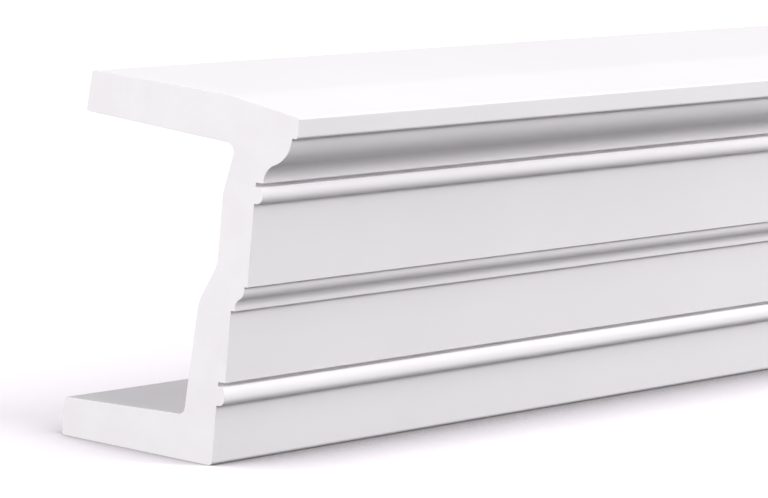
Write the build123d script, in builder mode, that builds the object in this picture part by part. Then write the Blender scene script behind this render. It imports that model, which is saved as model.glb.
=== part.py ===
"""Architrave moulding, one length of stock moulded in a single piece.

The length runs along X, the front faces -Y and the moulding stands on its bottom flange, Z up.
The section is drawn once, from its members, and carried through the whole length.
"""
import os

from build123d import *

os.makedirs("parts", exist_ok=True)

# Overall size, mm
length = 2000.0
height = 200.0
depth = 140.0

# How far each face stands in front of the one below it
listel_out = 24.6
upper_fascia_out = 9.5
middle_fascia_out = 4.5

# Heights of the front's members, from the bottom up. The upper fascia takes what is left
lower_fascia_height = 32.6
lower_bead_height = 10.5
quirk_height = 2.3
middle_fascia_height = 39.1
step_height = 13.9
upper_bead_height = 9.2
cyma_height = 26.2
listel_height = 11.3

# Beads: each has a narrow soffit and leans back toward its quirk
lower_bead_out = 4.9
upper_bead_out = 5.1
bead_soffit = 0.9
bead_lean = 2.2

# Step under the upper fascia: a shelf, a small ogee between two uprights, and a drip
step_shelf = 2.5
step_drip = 1.9
step_upright = 2.2
step_hollow_share = 0.47

# Cyma, and the listel over it
cyma_out = 4.8
cyma_upright = 1.0
cyma_hollow_share = 0.385
listel_overhang = 3.6

# Top: it falls gently from the rear, then sheds water toward the listel
top_fall = 1.5
weathering_width = 46.5
weathering_fall = 6.3

# Flanges, with the draft that lets the piece leave its mould
top_flange_edge = 22.4
top_flange_draft = 4.6
top_edge_lean = 1.9
bottom_flange_edge = 20.9
bottom_flange_draft = 3.6

# Web: its thickness behind each fascia and behind the cyma, and the step in its back
web_lower = 21.0
web_middle = 21.7
web_upper = 21.0
web_head = 19.8
web_head_height = 27.0
web_step_lag = 1.7
web_step_rise = 21.4

# Rounds
front_round = 2.2
bead_top_round = 1.0
listel_foot_round = 1.6
listel_top_round = 1.2
weathering_round = 100.0
rear_round = 1.4
web_step_round = 18.0
top_corner_round = 5.0
bottom_corner_round = 3.5

# Faces, as places across the section
rear = depth / 2
listel_face = -depth / 2
upper_face = listel_face + listel_out
middle_face = upper_face + upper_fascia_out
lower_face = middle_face + middle_fascia_out
cyma_face = upper_face - cyma_out

# Levels of the front, from the floor up
lower_bead_foot = lower_fascia_height
lower_bead_top = lower_bead_foot + lower_bead_height
middle_fascia_foot = lower_bead_top + quirk_height
step_foot = middle_fascia_foot + middle_fascia_height
upper_fascia_foot = step_foot + step_height

# Levels of the front, from the top down
weathering_top = height - top_fall
listel_top = weathering_top - weathering_fall
listel_foot = listel_top - listel_height
cyma_foot = listel_foot - cyma_height
upper_bead_top = cyma_foot - quirk_height
upper_bead_foot = upper_bead_top - upper_bead_height

# Corners of the web's back, as (across, up)
web_bottom = (lower_face + web_lower, bottom_flange_edge + bottom_flange_draft)
web_step_foot = (middle_face + web_middle, step_foot + web_step_lag)
web_step_top = (upper_face + web_upper, step_foot + web_step_lag + web_step_rise)
web_top = (cyma_face + web_head, height - top_flange_edge - top_flange_draft)
web_bend = (upper_face + web_upper, web_top[1] - web_head_height)


def bead(face, foot, top, out):
    """A bead on a face, up to its quirk: a soffit, a quarter round, then an arc leaning back."""
    soffit = Line((face, foot), (face - bead_soffit, foot))
    below = JernArc(soffit @ 1, tangent=soffit % 1, radius=out - bead_soffit, arc_size=-90)
    above = TangentArc(below @ 1, (face - out + bead_lean, top), tangent=below % 1)
    Line(above @ 1, (face, top))


def ogee(face, foot, out, rise, hollow_share):
    """A hollow with a round above it, as two tangent arcs that start and end upright."""
    turn = (face - out * hollow_share, foot + rise * hollow_share)
    hollow = TangentArc((face, foot), turn, tangent=(0, 1))
    TangentArc(turn, (face - out, foot + rise), tangent=hollow % 1)


def corner(across, up):
    """The corner of the section at a place."""
    return section.vertices().sort_by_distance((across, up))[0]


with BuildPart() as architrave_moulding:
    with BuildSketch(Plane.YZ.offset(-length / 2)) as section:
        with BuildLine() as outline:
            # Lower fascia and its bead
            Line((lower_face, 0), (lower_face, lower_bead_foot))
            bead(lower_face, lower_bead_foot, lower_bead_top, lower_bead_out)
            # Quirk, middle fascia and the shelf of the step
            Polyline(
                (lower_face, lower_bead_top),
                (lower_face, middle_fascia_foot),
                (middle_face, middle_fascia_foot),
                (middle_face, step_foot),
                (middle_face - step_shelf, step_foot),
                (middle_face - step_shelf, step_foot + step_upright),
            )
            ogee(
                middle_face - step_shelf,
                step_foot + step_upright,
                upper_fascia_out - step_shelf - step_drip,
                step_height - 2 * step_upright,
                step_hollow_share,
            )
            # Drip and upper fascia, with its bead
            Polyline(
                (upper_face + step_drip, upper_fascia_foot - step_upright),
                (upper_face + step_drip, upper_fascia_foot),
                (upper_face, upper_fascia_foot),
                (upper_face, upper_bead_foot),
            )
            bead(upper_face, upper_bead_foot, upper_bead_top, upper_bead_out)
            # Quirk and cyma
            Polyline(
                (upper_face, upper_bead_top),
                (upper_face, cyma_foot),
                (cyma_face, cyma_foot),
                (cyma_face, cyma_foot + cyma_upright),
            )
            ogee(
                cyma_face,
                cyma_foot + cyma_upright,
                cyma_face - listel_face - listel_overhang,
                cyma_height - cyma_upright,
                cyma_hollow_share,
            )
            # Listel, top and top flange
            Polyline(
                (listel_face + listel_overhang, listel_foot),
                (listel_face, listel_foot),
                (listel_face, listel_top),
                (listel_face + weathering_width, weathering_top),
                (rear - top_edge_lean, height),
                (rear, height - top_flange_edge),
                web_top,
            )
            # Back of the web, stepped like the front, and bottom flange
            Polyline(
                web_top,
                web_bend,
                web_step_top,
                web_step_foot,
                web_bottom,
                (rear, bottom_flange_edge),
                (rear, 0),
                (lower_face, 0),
            )
        make_face()
        # Corners that the mould rounds
        fillet(corner(lower_face, 0), front_round)
        fillet(corner(lower_face - lower_bead_out + bead_lean, lower_bead_top), bead_top_round)
        fillet(corner(upper_face - upper_bead_out + bead_lean, upper_bead_top), bead_top_round)
        fillet(corner(listel_face, listel_foot), listel_foot_round)
        fillet(corner(listel_face, listel_top), listel_top_round)
        fillet(corner(listel_face + weathering_width, weathering_top), weathering_round)
        fillet(corner(*web_top), top_corner_round)
        fillet(corner(*web_step_top), web_step_round)
        fillet(corner(*web_step_foot), web_step_round)
        fillet(corner(*web_bottom), bottom_corner_round)
        fillet(corner(rear - top_edge_lean, height), rear_round)
        fillet(corner(rear, height - top_flange_edge), rear_round)
        fillet(corner(rear, bottom_flange_edge), rear_round)
        fillet(corner(rear, 0), rear_round)
    extrude(amount=length)
architrave_moulding.part.label = "architrave_moulding"
export_step(architrave_moulding.part, "parts/architrave_moulding.step")
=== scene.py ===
"""Looks of the architrave moulding: the swept section, its finishes, the studio and the camera.

Lengths are in metres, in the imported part's frame: X runs along the length, -Y points out of the
moulded front and Z is up. Across the section, a place is given as (across, up), which is (y, z).
"""
from __future__ import annotations

import logging
import math
from abc import ABC, abstractmethod
from dataclasses import dataclass
from enum import Enum

import bmesh
import bpy
from mathutils import Matrix, Vector

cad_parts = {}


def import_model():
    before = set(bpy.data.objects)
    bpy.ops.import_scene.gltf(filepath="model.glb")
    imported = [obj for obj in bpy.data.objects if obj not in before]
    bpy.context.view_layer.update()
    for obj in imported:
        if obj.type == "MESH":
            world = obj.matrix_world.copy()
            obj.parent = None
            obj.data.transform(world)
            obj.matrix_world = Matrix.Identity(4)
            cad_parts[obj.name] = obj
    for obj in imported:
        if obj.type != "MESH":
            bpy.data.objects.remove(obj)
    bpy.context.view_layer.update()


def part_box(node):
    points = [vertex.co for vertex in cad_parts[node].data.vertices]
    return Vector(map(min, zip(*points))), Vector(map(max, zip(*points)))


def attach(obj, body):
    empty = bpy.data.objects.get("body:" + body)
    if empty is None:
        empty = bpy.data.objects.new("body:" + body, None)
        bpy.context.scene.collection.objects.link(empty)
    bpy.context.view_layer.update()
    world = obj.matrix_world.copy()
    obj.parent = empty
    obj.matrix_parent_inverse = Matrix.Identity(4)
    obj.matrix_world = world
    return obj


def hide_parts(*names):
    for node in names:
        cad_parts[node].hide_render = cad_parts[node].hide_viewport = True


LOG = logging.getLogger("architrave")
NODE = "architrave_moulding"
MM = 0.001

# How far a face's normal has to point along the run, on a sawn end and on the arris round it
FACES_THE_RUN = 0.9
LEANS_ALONG_THE_RUN = 0.1

# Places of the colour sockets on a Mix node
COLOUR_A, COLOUR_B, COLOUR_OUT = 6, 7, 2

Rgba = tuple[float, float, float, float]


class Surface(Enum):
    """The two kinds of surface on the moulding, by the names of their inputs to the sweep."""

    MOULDED = "Moulded"
    SAWN = "Sawn"


def grey(level: float) -> Rgba:
    """An opaque grey, from 0 for black to 1 for white."""
    return (level, level, level, 1.0)


@dataclass(frozen=True)
class Corner:
    """A corner of the section's outline, with the radius it is rounded to."""

    across: float
    up: float
    radius: float


@dataclass(frozen=True)
class OutlinePoint:
    """A point of the rounded outline, with the way its surface faces."""

    across: float
    up: float
    facing: Vector

    def distance_to(self, other: OutlinePoint) -> float:
        """How far another point of the outline is."""
        return math.hypot(self.across - other.across, self.up - other.up)


@dataclass(frozen=True)
class Section:
    """The moulding's section, member by member, at the part's own sizes.

    The outline runs up the front, back over the top, and down the channel behind the web.
    """

    height: float
    depth: float
    listel_out: float = 24.6 * MM
    upper_fascia_out: float = 9.5 * MM
    middle_fascia_out: float = 4.5 * MM
    lower_fascia_height: float = 32.6 * MM
    lower_bead_height: float = 10.5 * MM
    quirk_height: float = 2.3 * MM
    middle_fascia_height: float = 39.1 * MM
    step_height: float = 13.9 * MM
    upper_bead_height: float = 9.2 * MM
    cyma_height: float = 26.2 * MM
    listel_height: float = 11.3 * MM
    lower_bead_out: float = 4.9 * MM
    upper_bead_out: float = 5.1 * MM
    bead_soffit: float = 0.9 * MM
    bead_lean: float = 2.2 * MM
    step_shelf: float = 2.5 * MM
    step_drip: float = 1.9 * MM
    step_upright: float = 2.2 * MM
    step_hollow_share: float = 0.47
    cyma_out: float = 4.8 * MM
    cyma_upright: float = 1.0 * MM
    cyma_hollow_share: float = 0.385
    listel_overhang: float = 3.6 * MM
    top_fall: float = 1.5 * MM
    weathering_width: float = 46.5 * MM
    weathering_fall: float = 6.3 * MM
    top_flange_edge: float = 22.4 * MM
    top_flange_draft: float = 4.6 * MM
    top_edge_lean: float = 1.9 * MM
    bottom_flange_edge: float = 20.9 * MM
    bottom_flange_draft: float = 3.6 * MM
    web_lower: float = 21.0 * MM
    web_middle: float = 21.7 * MM
    web_upper: float = 21.0 * MM
    web_head: float = 19.8 * MM
    web_head_height: float = 27.0 * MM
    web_step_lag: float = 1.7 * MM
    web_step_rise: float = 21.4 * MM
    front_round: float = 2.2 * MM
    bead_top_round: float = 1.0 * MM
    listel_foot_round: float = 1.6 * MM
    listel_top_round: float = 1.2 * MM
    weathering_round: float = 100.0 * MM
    rear_round: float = 1.4 * MM
    web_step_round: float = 18.0 * MM
    top_corner_round: float = 5.0 * MM
    bottom_corner_round: float = 3.5 * MM
    arris: float = 0.3 * MM
    soft_bend: float = 6.0 * MM
    arc_step: float = math.radians(5.0)
    arris_step: float = math.radians(22.5)
    merge_distance: float = 1e-7

    def bead(self, face: float, foot: float, top: float, out: float) -> list[Corner]:
        """The corners of a bead: a soffit, a quarter round and an arc leaning back to the quirk.

        Args:
            face: place of the face that the bead stands on.
            foot: level of the bead's underside.
            top: level of its top, where the quirk begins.
            out: how far it stands out.

        Returns:
            The corners from the foot to the quirk's root.
        """
        below = out - self.bead_soffit
        rise = top - foot - below
        bend = (rise**2 + self.bead_lean**2) / (2 * self.bead_lean)
        turn = math.asin((rise - self.bead_top_round) / bend)
        back = bend * (1 - math.cos(turn)) + self.bead_top_round * math.tan(turn)
        return [
            Corner(face, foot, self.arris),
            Corner(face - out, foot, below),
            Corner(face - out, foot + below + bend * math.tan(turn / 2), bend),
            Corner(face - out + back, top, self.bead_top_round),
            Corner(face, top, self.arris),
        ]

    def ogee(
        self, face: float, foot: float, out: float, rise: float, hollow_share: float
    ) -> list[Corner]:
        """The corners of a hollow with a round over it, upright at both ends.

        Args:
            face: place of the face below.
            foot: level where the hollow leaves that face.
            out: how far the moulding comes out over its rise.
            rise: its height.
            hollow_share: the hollow's share of both.

        Returns:
            Two corners whose rounds meet where the hollow turns into the round.
        """
        turn = 2 * math.atan2(out, rise)
        corners = []
        for share, across, level, way in (
            (hollow_share, face, foot, 1),
            (1 - hollow_share, face - out, foot + rise, -1),
        ):
            radius = rise * share / math.sin(turn)
            corners.append(Corner(across, level + way * radius * math.tan(turn / 2), radius))
        return corners

    def corners(self) -> list[Corner]:
        """All corners of the section, from the bottom front one, up the front and round.

        Returns:
            The corners in order, each with the radius that the mould gives it.
        """
        rear, listel_face = self.depth / 2, -self.depth / 2
        upper_face = listel_face + self.listel_out
        middle_face = upper_face + self.upper_fascia_out
        lower_face = middle_face + self.middle_fascia_out
        cyma_face = upper_face - self.cyma_out
        shelf_face = middle_face - self.step_shelf
        drip_face = upper_face + self.step_drip

        lower_bead_foot = self.lower_fascia_height
        lower_bead_top = lower_bead_foot + self.lower_bead_height
        middle_foot = lower_bead_top + self.quirk_height
        step_foot = middle_foot + self.middle_fascia_height
        upper_foot = step_foot + self.step_height
        weathering_top = self.height - self.top_fall
        listel_top = weathering_top - self.weathering_fall
        listel_foot = listel_top - self.listel_height
        cyma_foot = listel_foot - self.cyma_height
        upper_bead_top = cyma_foot - self.quirk_height
        upper_bead_foot = upper_bead_top - self.upper_bead_height
        web_top_up = self.height - self.top_flange_edge - self.top_flange_draft
        step_top = step_foot + self.web_step_lag + self.web_step_rise

        def arris(across: float, up: float) -> Corner:
            """A corner that is crisp but not sharp."""
            return Corner(across, up, self.arris)

        return [
            Corner(lower_face, 0.0, self.front_round),
            *self.bead(lower_face, lower_bead_foot, lower_bead_top, self.lower_bead_out),
            arris(lower_face, middle_foot),
            arris(middle_face, middle_foot),
            arris(middle_face, step_foot),
            arris(shelf_face, step_foot),
            *self.ogee(
                shelf_face,
                step_foot + self.step_upright,
                shelf_face - drip_face,
                self.step_height - 2 * self.step_upright,
                self.step_hollow_share,
            ),
            arris(drip_face, upper_foot),
            arris(upper_face, upper_foot),
            *self.bead(upper_face, upper_bead_foot, upper_bead_top, self.upper_bead_out),
            arris(upper_face, cyma_foot),
            arris(cyma_face, cyma_foot),
            *self.ogee(
                cyma_face,
                cyma_foot + self.cyma_upright,
                cyma_face - listel_face - self.listel_overhang,
                self.cyma_height - self.cyma_upright - self.arris,
                self.cyma_hollow_share,
            ),
            arris(listel_face + self.listel_overhang, listel_foot),
            Corner(listel_face, listel_foot, self.listel_foot_round),
            Corner(listel_face, listel_top, self.listel_top_round),
            Corner(
                listel_face + self.weathering_width, weathering_top, self.weathering_round
            ),
            Corner(rear - self.top_edge_lean, self.height, self.rear_round),
            Corner(rear, self.height - self.top_flange_edge, self.rear_round),
            Corner(cyma_face + self.web_head, web_top_up, self.top_corner_round),
            Corner(upper_face + self.web_upper, web_top_up - self.web_head_height, self.soft_bend),
            Corner(upper_face + self.web_upper, step_top, self.web_step_round),
            Corner(
                middle_face + self.web_middle, step_foot + self.web_step_lag, self.web_step_round
            ),
            Corner(
                lower_face + self.web_lower,
                self.bottom_flange_edge + self.bottom_flange_draft,
                self.bottom_corner_round,
            ),
            Corner(rear, self.bottom_flange_edge, self.rear_round),
            Corner(rear, 0.0, self.rear_round),
        ]

    def round_corner(self, before: Corner, here: Corner, after: Corner) -> list[OutlinePoint]:
        """The points of one rounded corner.

        Args:
            before: the corner before it.
            here: the corner to round.
            after: the corner after it.

        Returns:
            Points along the arc, from its start to its end.
        """
        place = Vector((here.across, here.up))
        come = (place - Vector((before.across, before.up))).normalized()
        leave = (Vector((after.across, after.up)) - place).normalized()
        turn = math.atan2(come.cross(leave), come.dot(leave))
        step = self.arris_step if here.radius <= self.arris else self.arc_step
        count = max(2, math.ceil(abs(turn) / step))
        start = place - come * here.radius * math.tan(abs(turn) / 2)
        outward = Vector((-come.y, come.x))
        side = math.copysign(1.0, turn)
        centre = start + outward * here.radius * side
        points = []
        for index in range(count + 1):
            facing = outward.copy()
            facing.rotate(Matrix.Rotation(turn * index / count, 2))
            spot = centre - facing * here.radius * side
            points.append(OutlinePoint(spot.x, spot.y, facing))
        return points

    def outline(self) -> list[OutlinePoint]:
        """The whole rounded outline, without doubled points.

        Returns:
            The outline's points in order, with the last one joined to the first.
        """
        corners = self.corners()
        points: list[OutlinePoint] = []
        for index, here in enumerate(corners):
            after = corners[(index + 1) % len(corners)]
            for point in self.round_corner(corners[index - 1], here, after):
                last = points[-1] if points else None
                if last and last.distance_to(point) < self.merge_distance:
                    continue
                points.append(point)
        return points


def declare_sockets(
    tree: bpy.types.NodeTree, inputs: dict[str, str], outputs: dict[str, str]
) -> None:
    """Gives a node group its named sockets.

    Args:
        tree: the group.
        inputs: the inputs' names with their types, such as Float.
        outputs: the outputs' names with their types.
    """
    for way, sockets in (("INPUT", inputs), ("OUTPUT", outputs)):
        for name, kind in sockets.items():
            tree.interface.new_socket(name, in_out=way, socket_type=f"NodeSocket{kind}")


@dataclass(frozen=True)
class SweepTree:
    """The Geometry Nodes tree that carries a closed outline along a straight run."""

    name: str = "sweep_along_run"

    def build(self) -> bpy.types.NodeTree:
        """Makes the tree.

        Returns:
            A tree whose inputs are the outline, the run's length, its number of stations and
            the two finishes.
        """
        tree = bpy.data.node_groups.new(self.name, "GeometryNodeTree")
        finishes = {surface.value: "Material" for surface in Surface}
        declare_sockets(
            tree,
            {"Outline": "Geometry", "Length": "Float", "Stations": "Int", **finishes},
            {"Moulding": "Geometry"},
        )
        nodes, link = tree.nodes, tree.links.new
        entry, leave = nodes.new("NodeGroupInput"), nodes.new("NodeGroupOutput")

        # The run, from half its length before the origin to half beyond it
        run = nodes.new("GeometryNodeCurvePrimitiveLine")
        for share, run_end in ((-0.5, "Start"), (0.5, "End")):
            reach = nodes.new("ShaderNodeMath")
            reach.operation = "MULTIPLY"
            reach.inputs[1].default_value = share
            link(entry.outputs["Length"], reach.inputs[0])
            place = nodes.new("ShaderNodeCombineXYZ")
            link(reach.outputs[0], place.inputs["X"])
            link(place.outputs[0], run.inputs[run_end])
        stations = nodes.new("GeometryNodeResampleCurve")
        link(run.outputs["Curve"], stations.inputs["Curve"])
        link(entry.outputs["Stations"], stations.inputs["Count"])

        ring = nodes.new("GeometryNodeMeshToCurve")
        link(entry.outputs["Outline"], ring.inputs["Mesh"])
        sweep = nodes.new("GeometryNodeCurveToMesh")
        sweep.inputs["Fill Caps"].default_value = True
        link(stations.outputs["Curve"], sweep.inputs["Curve"])
        link(ring.outputs["Curve"], sweep.inputs["Profile Curve"])

        # The caps are the faces that look along the run
        normal = nodes.new("GeometryNodeInputNormal")
        split = nodes.new("ShaderNodeSeparateXYZ")
        link(normal.outputs["Normal"], split.inputs[0])
        size = nodes.new("ShaderNodeMath")
        size.operation = "ABSOLUTE"
        link(split.outputs["X"], size.inputs[0])
        capped = nodes.new("FunctionNodeCompare")
        capped.data_type, capped.operation = "FLOAT", "GREATER_THAN"
        link(size.outputs[0], capped.inputs[0])
        capped.inputs[1].default_value = FACES_THE_RUN

        realized = nodes.new("GeometryNodeRealizeInstances")
        link(sweep.outputs["Mesh"], realized.inputs[0])
        moulded, sawn = nodes.new("GeometryNodeSetMaterial"), nodes.new("GeometryNodeSetMaterial")
        link(realized.outputs[0], moulded.inputs["Geometry"])
        link(entry.outputs[Surface.MOULDED.value], moulded.inputs["Material"])
        link(moulded.outputs[0], sawn.inputs["Geometry"])
        link(capped.outputs[0], sawn.inputs["Selection"])
        link(entry.outputs[Surface.SAWN.value], sawn.inputs["Material"])
        link(sawn.outputs[0], leave.inputs["Moulding"])
        return tree


class NodeKit:
    """Helpers that place and join nodes in a shader tree."""

    def __init__(self, tree: bpy.types.NodeTree) -> None:
        """Keeps the tree that the nodes go in."""
        self.tree = tree

    def add(self, kind: str, **settings: object) -> bpy.types.Node:
        """Adds a node and sets its properties.

        Args:
            kind: the node's type.
            settings: property names and values.

        Returns:
            The new node.
        """
        node = self.tree.nodes.new(kind)
        for name, value in settings.items():
            setattr(node, name, value)
        return node

    def join(self, source: bpy.types.NodeSocket, target: bpy.types.NodeSocket) -> None:
        """Links one socket to another."""
        self.tree.links.new(source, target)

    def bump(
        self,
        height: bpy.types.NodeSocket,
        depth: float,
        under: bpy.types.NodeSocket | None = None,
    ) -> bpy.types.NodeSocket:
        """Adds a bump.

        Args:
            height: the relief, from 0 to 1.
            depth: how deep that is.
            under: the normal of a coarser relief that this one lies on.

        Returns:
            The bumped normal.
        """
        node = self.add("ShaderNodeBump")
        node.inputs["Distance"].default_value = depth
        self.join(height, node.inputs["Height"])
        if under:
            self.join(under, node.inputs["Normal"])
        return node.outputs["Normal"]

    def seen_directly(self) -> bpy.types.NodeSocket:
        """Tells the rays that show a surface from the rays that carry its light.

        Returns:
            A socket that is 1 for camera, glossy and transmission rays, and 0 for the others.
        """
        rays = self.add("ShaderNodeLightPath")
        mirrored = self.add("ShaderNodeMath", operation="MAXIMUM")
        self.join(rays.outputs["Is Camera Ray"], mirrored.inputs[0])
        self.join(rays.outputs["Is Glossy Ray"], mirrored.inputs[1])
        either = self.add("ShaderNodeMath", operation="MAXIMUM")
        self.join(mirrored.outputs[0], either.inputs[0])
        self.join(rays.outputs["Is Transmission Ray"], either.inputs[1])
        return either.outputs[0]


@dataclass(frozen=True)
class SoftMottle:
    """A shared effect: two tones that drift into each other in soft clouds."""

    name: str = "soft_mottle"
    detail: float = 4.0
    roughness: float = 0.55
    spread: tuple[float, float] = (0.3, 0.7)

    def group(self) -> bpy.types.NodeTree:
        """Builds the group, or gives the one that is there.

        Returns:
            The group, which turns a place, two tones and a scale into a colour and a mask.
        """
        if self.name in bpy.data.node_groups:
            return bpy.data.node_groups[self.name]
        tree = bpy.data.node_groups.new(self.name, "ShaderNodeTree")
        declare_sockets(
            tree,
            {"Place": "Vector", "Tone A": "Color", "Tone B": "Color", "Scale": "Float"},
            {"Color": "Color", "Mask": "Float"},
        )
        kit = NodeKit(tree)
        entry, leave = kit.add("NodeGroupInput"), kit.add("NodeGroupOutput")
        cloud = kit.add("ShaderNodeTexNoise")
        cloud.inputs["Detail"].default_value = self.detail
        cloud.inputs["Roughness"].default_value = self.roughness
        kit.join(entry.outputs["Place"], cloud.inputs["Vector"])
        kit.join(entry.outputs["Scale"], cloud.inputs["Scale"])
        spread = kit.add("ShaderNodeMapRange", interpolation_type="SMOOTHSTEP")
        spread.inputs["From Min"].default_value = self.spread[0]
        spread.inputs["From Max"].default_value = self.spread[1]
        kit.join(cloud.outputs["Fac"], spread.inputs["Value"])
        blend = kit.add("ShaderNodeMix", data_type="RGBA")
        kit.join(spread.outputs["Result"], blend.inputs["Factor"])
        kit.join(entry.outputs["Tone A"], blend.inputs[COLOUR_A])
        kit.join(entry.outputs["Tone B"], blend.inputs[COLOUR_B])
        kit.join(blend.outputs[COLOUR_OUT], leave.inputs["Color"])
        kit.join(spread.outputs["Result"], leave.inputs["Mask"])
        return tree


@dataclass(frozen=True)
class FineGrit:
    """A shared effect: the fine relief of a sprayed or a sawn surface, as a height."""

    name: str = "fine_grit"
    haze_detail: float = 3.0
    grain_weight: float = 0.6

    def group(self) -> bpy.types.NodeTree:
        """Builds the group, or gives the one that is there.

        Returns:
            The group, which turns a place, a scale and a softness into a height.
        """
        if self.name in bpy.data.node_groups:
            return bpy.data.node_groups[self.name]
        tree = bpy.data.node_groups.new(self.name, "ShaderNodeTree")
        declare_sockets(
            tree, {"Place": "Vector", "Scale": "Float", "Softness": "Float"}, {"Height": "Float"}
        )
        kit = NodeKit(tree)
        entry, leave = kit.add("NodeGroupInput"), kit.add("NodeGroupOutput")
        grains = kit.add("ShaderNodeTexVoronoi", feature="SMOOTH_F1")
        kit.join(entry.outputs["Place"], grains.inputs["Vector"])
        kit.join(entry.outputs["Scale"], grains.inputs["Scale"])
        kit.join(entry.outputs["Softness"], grains.inputs["Smoothness"])
        haze = kit.add("ShaderNodeTexNoise")
        haze.inputs["Detail"].default_value = self.haze_detail
        kit.join(entry.outputs["Place"], haze.inputs["Vector"])
        kit.join(entry.outputs["Scale"], haze.inputs["Scale"])
        both = kit.add("ShaderNodeMath", operation="MULTIPLY_ADD")
        both.inputs[1].default_value = self.grain_weight
        kit.join(grains.outputs["Distance"], both.inputs[0])
        kit.join(haze.outputs["Fac"], both.inputs[2])
        kit.join(both.outputs[0], leave.inputs["Height"])
        return tree

    def place_in(
        self, kit: NodeKit, place: bpy.types.NodeSocket, scale: float, softness: float
    ) -> bpy.types.NodeSocket:
        """Places the group in a material.

        Args:
            kit: the material's nodes.
            place: the socket that gives the place on the piece.
            scale: how many grains there are to a metre.
            softness: how far the grains melt into each other.

        Returns:
            The relief's height.
        """
        grit = kit.add("ShaderNodeGroup", node_tree=self.group())
        grit.inputs["Scale"].default_value = scale
        grit.inputs["Softness"].default_value = softness
        kit.join(place, grit.inputs["Place"])
        return grit.outputs["Height"]


@dataclass(frozen=True)
class FoamFinish(ABC):
    """What both finishes share: two mottled tones on a plain matt surface, with a relief."""

    name: str
    light_tone: Rgba
    dull_tone: Rgba
    roughness: float
    refraction: float
    cloud_scale: float

    @abstractmethod
    def relief(self, kit: NodeKit, place: bpy.types.NodeSocket) -> bpy.types.NodeSocket:
        """Adds the finish's own fine relief.

        Args:
            kit: the material's nodes.
            place: the socket that gives the place on the piece.

        Returns:
            The surface's normal.
        """

    def material(self) -> bpy.types.Material:
        """Builds the material.

        Returns:
            The material, with the mottle in its colour and the relief in its normal.
        """
        material = bpy.data.materials.new(self.name)
        material.use_nodes = True
        kit = NodeKit(material.node_tree)
        shader = material.node_tree.nodes["Principled BSDF"]
        shader.inputs["Roughness"].default_value = self.roughness
        shader.inputs["IOR"].default_value = self.refraction
        place = kit.add("ShaderNodeTexCoord").outputs["Object"]
        cloud = kit.add("ShaderNodeGroup", node_tree=SoftMottle().group())
        cloud.inputs["Tone A"].default_value = self.light_tone
        cloud.inputs["Tone B"].default_value = self.dull_tone
        cloud.inputs["Scale"].default_value = self.cloud_scale
        kit.join(place, cloud.inputs["Place"])
        kit.join(cloud.outputs["Color"], shader.inputs["Base Color"])
        kit.join(self.relief(kit, place), shader.inputs["Normal"])
        return material


@dataclass(frozen=True)
class PrimedFoam(FoamFinish):
    """The factory primer on the moulded faces: smooth, matt, with a faint drag along the run."""

    name: str = "primed_foam"
    light_tone: Rgba = (0.89, 0.865, 0.89, 1.0)
    dull_tone: Rgba = (0.872, 0.848, 0.872, 1.0)
    roughness: float = 0.62
    refraction: float = 1.45
    cloud_scale: float = 9.0
    drag_stretch: float = 0.02
    drag_scale: float = 260.0
    drag_detail: float = 3.0
    drag_depth: float = 0.02 * MM
    grit_scale: float = 1400.0
    grit_softness: float = 0.6
    grit_depth: float = 0.012 * MM

    def relief(self, kit: NodeKit, place: bpy.types.NodeSocket) -> bpy.types.NodeSocket:
        """Adds the drag along the run, with the primer's grit over it.

        Args:
            kit: the material's nodes.
            place: the socket that gives the place on the piece.

        Returns:
            The surface's normal.
        """
        along = kit.add("ShaderNodeMapping")
        along.inputs["Scale"].default_value = (self.drag_stretch, 1.0, 1.0)
        kit.join(place, along.inputs["Vector"])
        drag = kit.add("ShaderNodeTexNoise")
        drag.inputs["Scale"].default_value = self.drag_scale
        drag.inputs["Detail"].default_value = self.drag_detail
        kit.join(along.outputs["Vector"], drag.inputs["Vector"])
        dragged = kit.bump(drag.outputs["Fac"], self.drag_depth)
        grit = FineGrit().place_in(kit, place, self.grit_scale, self.grit_softness)
        return kit.bump(grit, self.grit_depth, dragged)


@dataclass(frozen=True)
class SawnFoam(FoamFinish):
    """The sawn ends: dense closed-cell foam, dry and very matt."""

    name: str = "sawn_foam"
    light_tone: Rgba = (0.9, 0.875, 0.9, 1.0)
    dull_tone: Rgba = (0.87, 0.843, 0.868, 1.0)
    roughness: float = 0.9
    refraction: float = 1.3
    cloud_scale: float = 45.0
    cell_scale: float = 1900.0
    cell_softness: float = 0.25
    cell_depth: float = 0.05 * MM

    def relief(self, kit: NodeKit, place: bpy.types.NodeSocket) -> bpy.types.NodeSocket:
        """Adds the cut cells.

        Args:
            kit: the material's nodes.
            place: the socket that gives the place on the piece.

        Returns:
            The surface's normal.
        """
        cells = FineGrit().place_in(kit, place, self.cell_scale, self.cell_softness)
        return kit.bump(cells, self.cell_depth)


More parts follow.
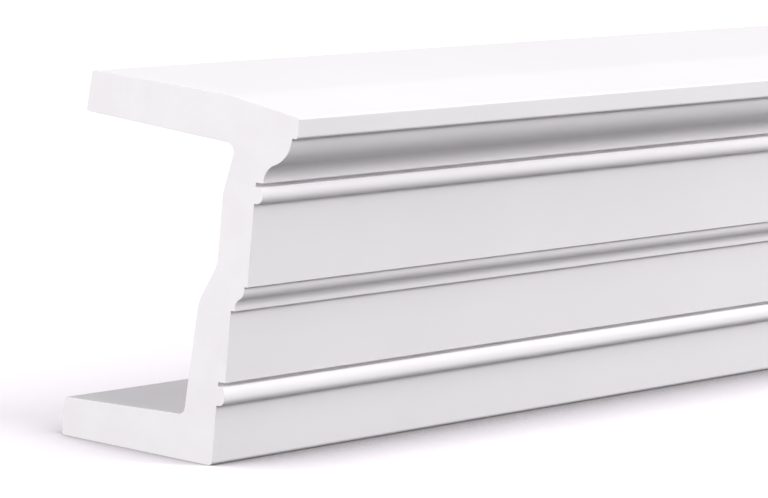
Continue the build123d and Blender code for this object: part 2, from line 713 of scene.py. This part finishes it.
@dataclass
class MouldedLength:
    """The length of moulding: its section swept along the run, with both ends sawn square."""

    low: Vector
    high: Vector
    name: str = "moulded_length"
    stations: int = 41
    cut_bevel: float = 0.15 * MM

    def section(self) -> Section:
        """The section at the frame's size, as high as it was before its top corner was rounded.

        Returns:
            The section, its height in whole millimetres.
        """
        whole_millimetres = round(self.high.z / MM)
        return Section(height=whole_millimetres * MM, depth=self.high.y - self.low.y)

    def outline_mesh(self, points: list[OutlinePoint]) -> bpy.types.Object:
        """A closed wire of the outline, laid as the sweep reads it.

        Args:
            points: the rounded outline.

        Returns:
            An object that holds the wire, with its X across the run and its Y up, both turned
            about, because the sweep's frame looks back along them.
        """
        mesh = bpy.data.meshes.new("outline")
        points = points[::-1]
        verts = [(-point.across, -point.up, 0.0) for point in points]
        edges = [(index, (index + 1) % len(points)) for index in range(len(points))]
        mesh.from_pydata(verts, edges, [])
        facing = mesh.attributes.new("facing", "FLOAT_VECTOR", "POINT")
        for index, point in enumerate(points):
            facing.data[index].vector = (0.0, point.facing.x, point.facing.y)
        wire = bpy.data.objects.new("outline", mesh)
        bpy.context.scene.collection.objects.link(wire)
        return wire

    def sweep(self, finishes: dict[Surface, bpy.types.Material]) -> bpy.types.Mesh:
        """Runs the node tree on the outline and takes its result as a plain mesh.

        Args:
            finishes: the material of each kind of surface.

        Returns:
            The swept mesh, a cut bevel shorter than the part at each end.
        """
        wire = self.outline_mesh(self.section().outline())
        tree = SweepTree().build()
        modifier = wire.modifiers.new("sweep", "NODES")
        modifier.node_group = tree
        inputs = {
            item.name: item.identifier
            for item in tree.interface.items_tree
            if item.item_type == "SOCKET" and item.in_out == "INPUT"
        }
        modifier[inputs["Length"]] = self.high.x - self.low.x - 2 * self.cut_bevel
        modifier[inputs["Stations"]] = self.stations
        for surface, material in finishes.items():
            modifier[inputs[surface.value]] = material
        depsgraph = bpy.context.evaluated_depsgraph_get()
        mesh = bpy.data.meshes.new_from_object(
            wire.evaluated_get(depsgraph), preserve_all_data_layers=True, depsgraph=depsgraph
        )
        bpy.data.objects.remove(wire)
        return mesh

    def cut_ends(self, mesh: bpy.types.Mesh) -> None:
        """Bevels the edge of the saw cut at each end.

        Args:
            mesh: the swept mesh, changed in place.
        """
        build = bmesh.new()
        build.from_mesh(mesh)
        facing = build.verts.layers.float_vector["facing"]
        ends = [face for face in build.faces if abs(face.normal.x) > FACES_THE_RUN]
        for end in ends:
            beyond = Vector((math.copysign(self.cut_bevel, end.normal.x), 0.0, 0.0))
            rim, inner = list(end.verts), []
            for vert in rim:
                outward = Vector(vert[facing])
                inner.append(build.verts.new(vert.co + beyond - outward * self.cut_bevel))
                inner[-1][facing] = outward
            strips = [
                (rim[index - 1], rim[index], inner[index], inner[index - 1])
                for index in range(len(rim))
            ]
            for corners in (*strips, inner):
                build.faces.new(corners).material_index = end.material_index
        bmesh.ops.delete(build, geom=ends, context="FACES_ONLY")
        build.normal_update()
        build.to_mesh(mesh)
        build.free()

    def shade(self, mesh: bpy.types.Mesh) -> None:
        """Gives the moulded faces the outline's own normals, so that every round is smooth.

        Args:
            mesh: the finished mesh, changed in place.
        """
        facing = mesh.attributes["facing"].data
        normals = []
        for polygon in mesh.polygons:
            cut = abs(polygon.normal.x) > LEANS_ALONG_THE_RUN
            for loop in polygon.loop_indices:
                vertex = mesh.loops[loop].vertex_index
                normal = polygon.normal if cut else facing[vertex].vector
                normals.append(tuple(normal))
        mesh.polygons.foreach_set("use_smooth", [True] * len(mesh.polygons))
        mesh.normals_split_custom_set(normals)

    def build(self, primer: PrimedFoam, sawn: SawnFoam) -> bpy.types.Object:
        """Makes the piece, puts it in place of the plain part and reports it.

        Args:
            primer: the finish of the moulded faces.
            sawn: the finish of the ends.

        Returns:
            The finished piece.
        """
        finishes = {Surface.MOULDED: primer.material(), Surface.SAWN: sawn.material()}
        mesh = self.sweep(finishes)
        self.cut_ends(mesh)
        self.shade(mesh)
        mesh.name = self.name
        piece = bpy.data.objects.new(self.name, mesh)
        bpy.context.scene.collection.objects.link(piece)
        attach(piece, "root")
        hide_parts(NODE)
        triangles = sum(len(polygon.vertices) - 2 for polygon in mesh.polygons)
        LOG.info("%s: %d faces, %d triangles", self.name, len(mesh.polygons), triangles)
        return piece


@dataclass(frozen=True)
class Lamp:
    """A square soft lamp that the camera doesn't see, aimed at the moulding."""

    name: str
    place: tuple[float, float, float]
    power: float
    aim: tuple[float, float, float] = (-0.4, 0.0, 0.1)
    side: float = 3.0

    def hang(self) -> None:
        """Puts the lamp in the scene."""
        light = bpy.data.lights.new(self.name, "AREA")
        light.size = self.side
        light.energy = self.power
        lamp = bpy.data.objects.new(self.name, light)
        lamp.location = self.place
        way = Vector(self.aim) - Vector(self.place)
        lamp.rotation_euler = way.to_track_quat("-Z", "Y").to_euler()
        lamp.visible_camera = False
        bpy.context.scene.collection.objects.link(lamp)
        LOG.info("%s: %.0f W, %.1f m square", self.name, self.power, self.side)


@dataclass(frozen=True)
class Studio:
    """A pale floor without a wall, with a painted shadow round the moulding, a pale sky and soft
    lamps.
    """

    floor_half: float = 60.0
    floor_glow: float = 0.3
    # The next five set the painted shadow on the floor: how far its occlusion test reaches, where
    # it is darkest, its least brightness, its curve and its samples.
    painted_shadow_reach: float = 0.11
    painted_shadow_dark: float = 0.44
    painted_shadow_least: float = 0.037
    painted_shadow_power: float = 0.45
    painted_shadow_samples: int = 16
    floor_colour: Rgba = (1.0, 0.955, 1.0, 1.0)
    floor_bounce: float = 0.1
    sky: float = 0.27
    shown_sky: float = 0.8
    lamps: tuple[Lamp, ...] = (
        Lamp("overhead", (-0.3, 0.0, 7.0), 27.0),
        Lamp("high_front", (-0.3, -3.0, 6.3), 118.0),
        Lamp("left", (-6.8, -0.5, 1.6), 184.0),
        Lamp("near_left", (-3.6, 0.1, 1.0), 28.5, (-1.0, 0.0, 0.1), 1.2),
        Lamp("right_front", (5.1, -4.7, 3.3), 575.0),
        Lamp("low_behind", (1.5, 6.5, 0.6), 110.0, (0.0, 0.0, 0.1), 1.0),
    )

    def floor_material(self) -> bpy.types.Material:
        """White to the camera and in reflections, greyer for the light it throws back.

        A painted shadow darkens the white where the moulding stands close over the floor, as deep
        as an occlusion test finds it.

        Returns:
            The floor's material.
        """
        material = bpy.data.materials.new("studio_floor")
        material.use_nodes = True
        kit = NodeKit(material.node_tree)
        shader = material.node_tree.nodes["Principled BSDF"]
        shader.inputs["Roughness"].default_value = 1.0
        shader.inputs["Specular IOR Level"].default_value = 0.0
        seen = kit.seen_directly()
        # Painted shadow: an occlusion test near the moulding darkens the floor's colour and its
        # glow.
        painted_shadow_occlusion = kit.add("ShaderNodeAmbientOcclusion", samples=self.painted_shadow_samples)
        painted_shadow_occlusion.inputs["Distance"].default_value = self.painted_shadow_reach
        depth = kit.add("ShaderNodeMapRange")
        depth.inputs["From Min"].default_value = self.painted_shadow_dark
        depth.inputs["To Min"].default_value = self.painted_shadow_least
        kit.join(painted_shadow_occlusion.outputs["AO"], depth.inputs["Value"])
        painted_shadow_curve = kit.add("ShaderNodeMath", operation="POWER")
        kit.join(depth.outputs["Result"], painted_shadow_curve.inputs[0])
        painted_shadow_curve.inputs[1].default_value = self.painted_shadow_power
        # The painted shadow's colour: black where the floor lies closest under the moulding, the
        # floor's own colour further off.
        painted_shadow_colour = kit.add("ShaderNodeMix", data_type="RGBA")
        kit.join(painted_shadow_curve.outputs[0], painted_shadow_colour.inputs["Factor"])
        painted_shadow_colour.inputs[COLOUR_A].default_value = grey(0.0)
        painted_shadow_colour.inputs[COLOUR_B].default_value = self.floor_colour
        tone = kit.add("ShaderNodeMix", data_type="RGBA")
        kit.join(seen, tone.inputs["Factor"])
        tone.inputs[COLOUR_A].default_value = grey(self.floor_bounce)
        kit.join(painted_shadow_colour.outputs[COLOUR_OUT], tone.inputs[COLOUR_B])
        kit.join(tone.outputs[COLOUR_OUT], shader.inputs["Base Color"])
        glow = kit.add("ShaderNodeMath", operation="MULTIPLY")
        kit.join(seen, glow.inputs[0])
        glow.inputs[1].default_value = self.floor_glow
        # The glow carries the painted shadow too, so that it shows on the white floor.
        kit.join(painted_shadow_colour.outputs[COLOUR_OUT], shader.inputs["Emission Color"])
        kit.join(glow.outputs[0], shader.inputs["Emission Strength"])
        return material

    def lay_floor(self) -> None:
        """Lays the floor under the moulding."""
        half = self.floor_half
        mesh = bpy.data.meshes.new("studio_floor")
        corners = [(-half, -half, 0.0), (half, -half, 0.0), (half, half, 0.0), (-half, half, 0.0)]
        mesh.from_pydata(corners, [], [(0, 1, 2, 3)])
        mesh.materials.append(self.floor_material())
        floor = bpy.data.objects.new("studio_floor", mesh)
        bpy.context.scene.collection.objects.link(floor)

    def light_sky(self) -> None:
        """Lights the world softly, and shows the camera and reflections a paler sky."""
        world = bpy.data.worlds.new("studio_sky")
        world.use_nodes = True
        kit = NodeKit(world.node_tree)
        lit = world.node_tree.nodes["Background"]
        lit.inputs["Color"].default_value = grey(1.0)
        lit.inputs["Strength"].default_value = self.sky
        shown = kit.add("ShaderNodeBackground")
        shown.inputs["Color"].default_value = grey(self.shown_sky)
        blend = kit.add("ShaderNodeMixShader")
        kit.join(kit.seen_directly(), blend.inputs[0])
        kit.join(lit.outputs[0], blend.inputs[1])
        kit.join(shown.outputs[0], blend.inputs[2])
        kit.join(blend.outputs[0], world.node_tree.nodes["World Output"].inputs["Surface"])
        bpy.context.scene.world = world

    def build(self) -> None:
        """Sets up the floor, the sky and the lamps."""
        self.lay_floor()
        self.light_sky()
        for lamp in self.lamps:
            lamp.hang()
        bpy.context.scene.view_settings.view_transform = "Standard"


@dataclass(frozen=True)
class PhotoCamera:
    """The camera at the photograph's viewing angle.

    It has a long lens, stands a little above the moulding and is slightly rolled.
    """

    place: tuple[float, float, float] = (-3.26096, -1.64932, 0.51450)
    look: tuple[float, float, float] = (0.821944, 0.552315, -0.139119)
    up: tuple[float, float, float] = (0.068392, 0.146663, 0.986819)
    focal_pixels: float = 5300.0
    image_width: float = 768.0
    sensor: float = 36.0

    def build(self) -> None:
        """Makes the camera and has the scene look through it."""
        data = bpy.data.cameras.new("photo_camera")
        data.sensor_width = self.sensor
        data.lens = self.sensor * self.focal_pixels / self.image_width
        back, up = -Vector(self.look).normalized(), Vector(self.up)
        right = up.cross(back).normalized()
        up = back.cross(right)
        turn = Matrix((right, up, back)).transposed()
        camera = bpy.data.objects.new("photo_camera", data)
        camera.matrix_world = Matrix.Translation(self.place) @ turn.to_4x4()
        bpy.context.scene.collection.objects.link(camera)
        bpy.context.scene.camera = camera
        LOG.info("photo_camera: %.1f mm lens", data.lens)


def main() -> None:
    """Builds the moulding, the studio and the camera."""
    logging.basicConfig(level=logging.INFO, format="%(name)s: %(message)s")
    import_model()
    low, high = (Vector(corner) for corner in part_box(NODE))
    MouldedLength(low=low, high=high).build(PrimedFoam(), SawnFoam())
    Studio().build()
    PhotoCamera().build()


if __name__ == "__main__":
    main()
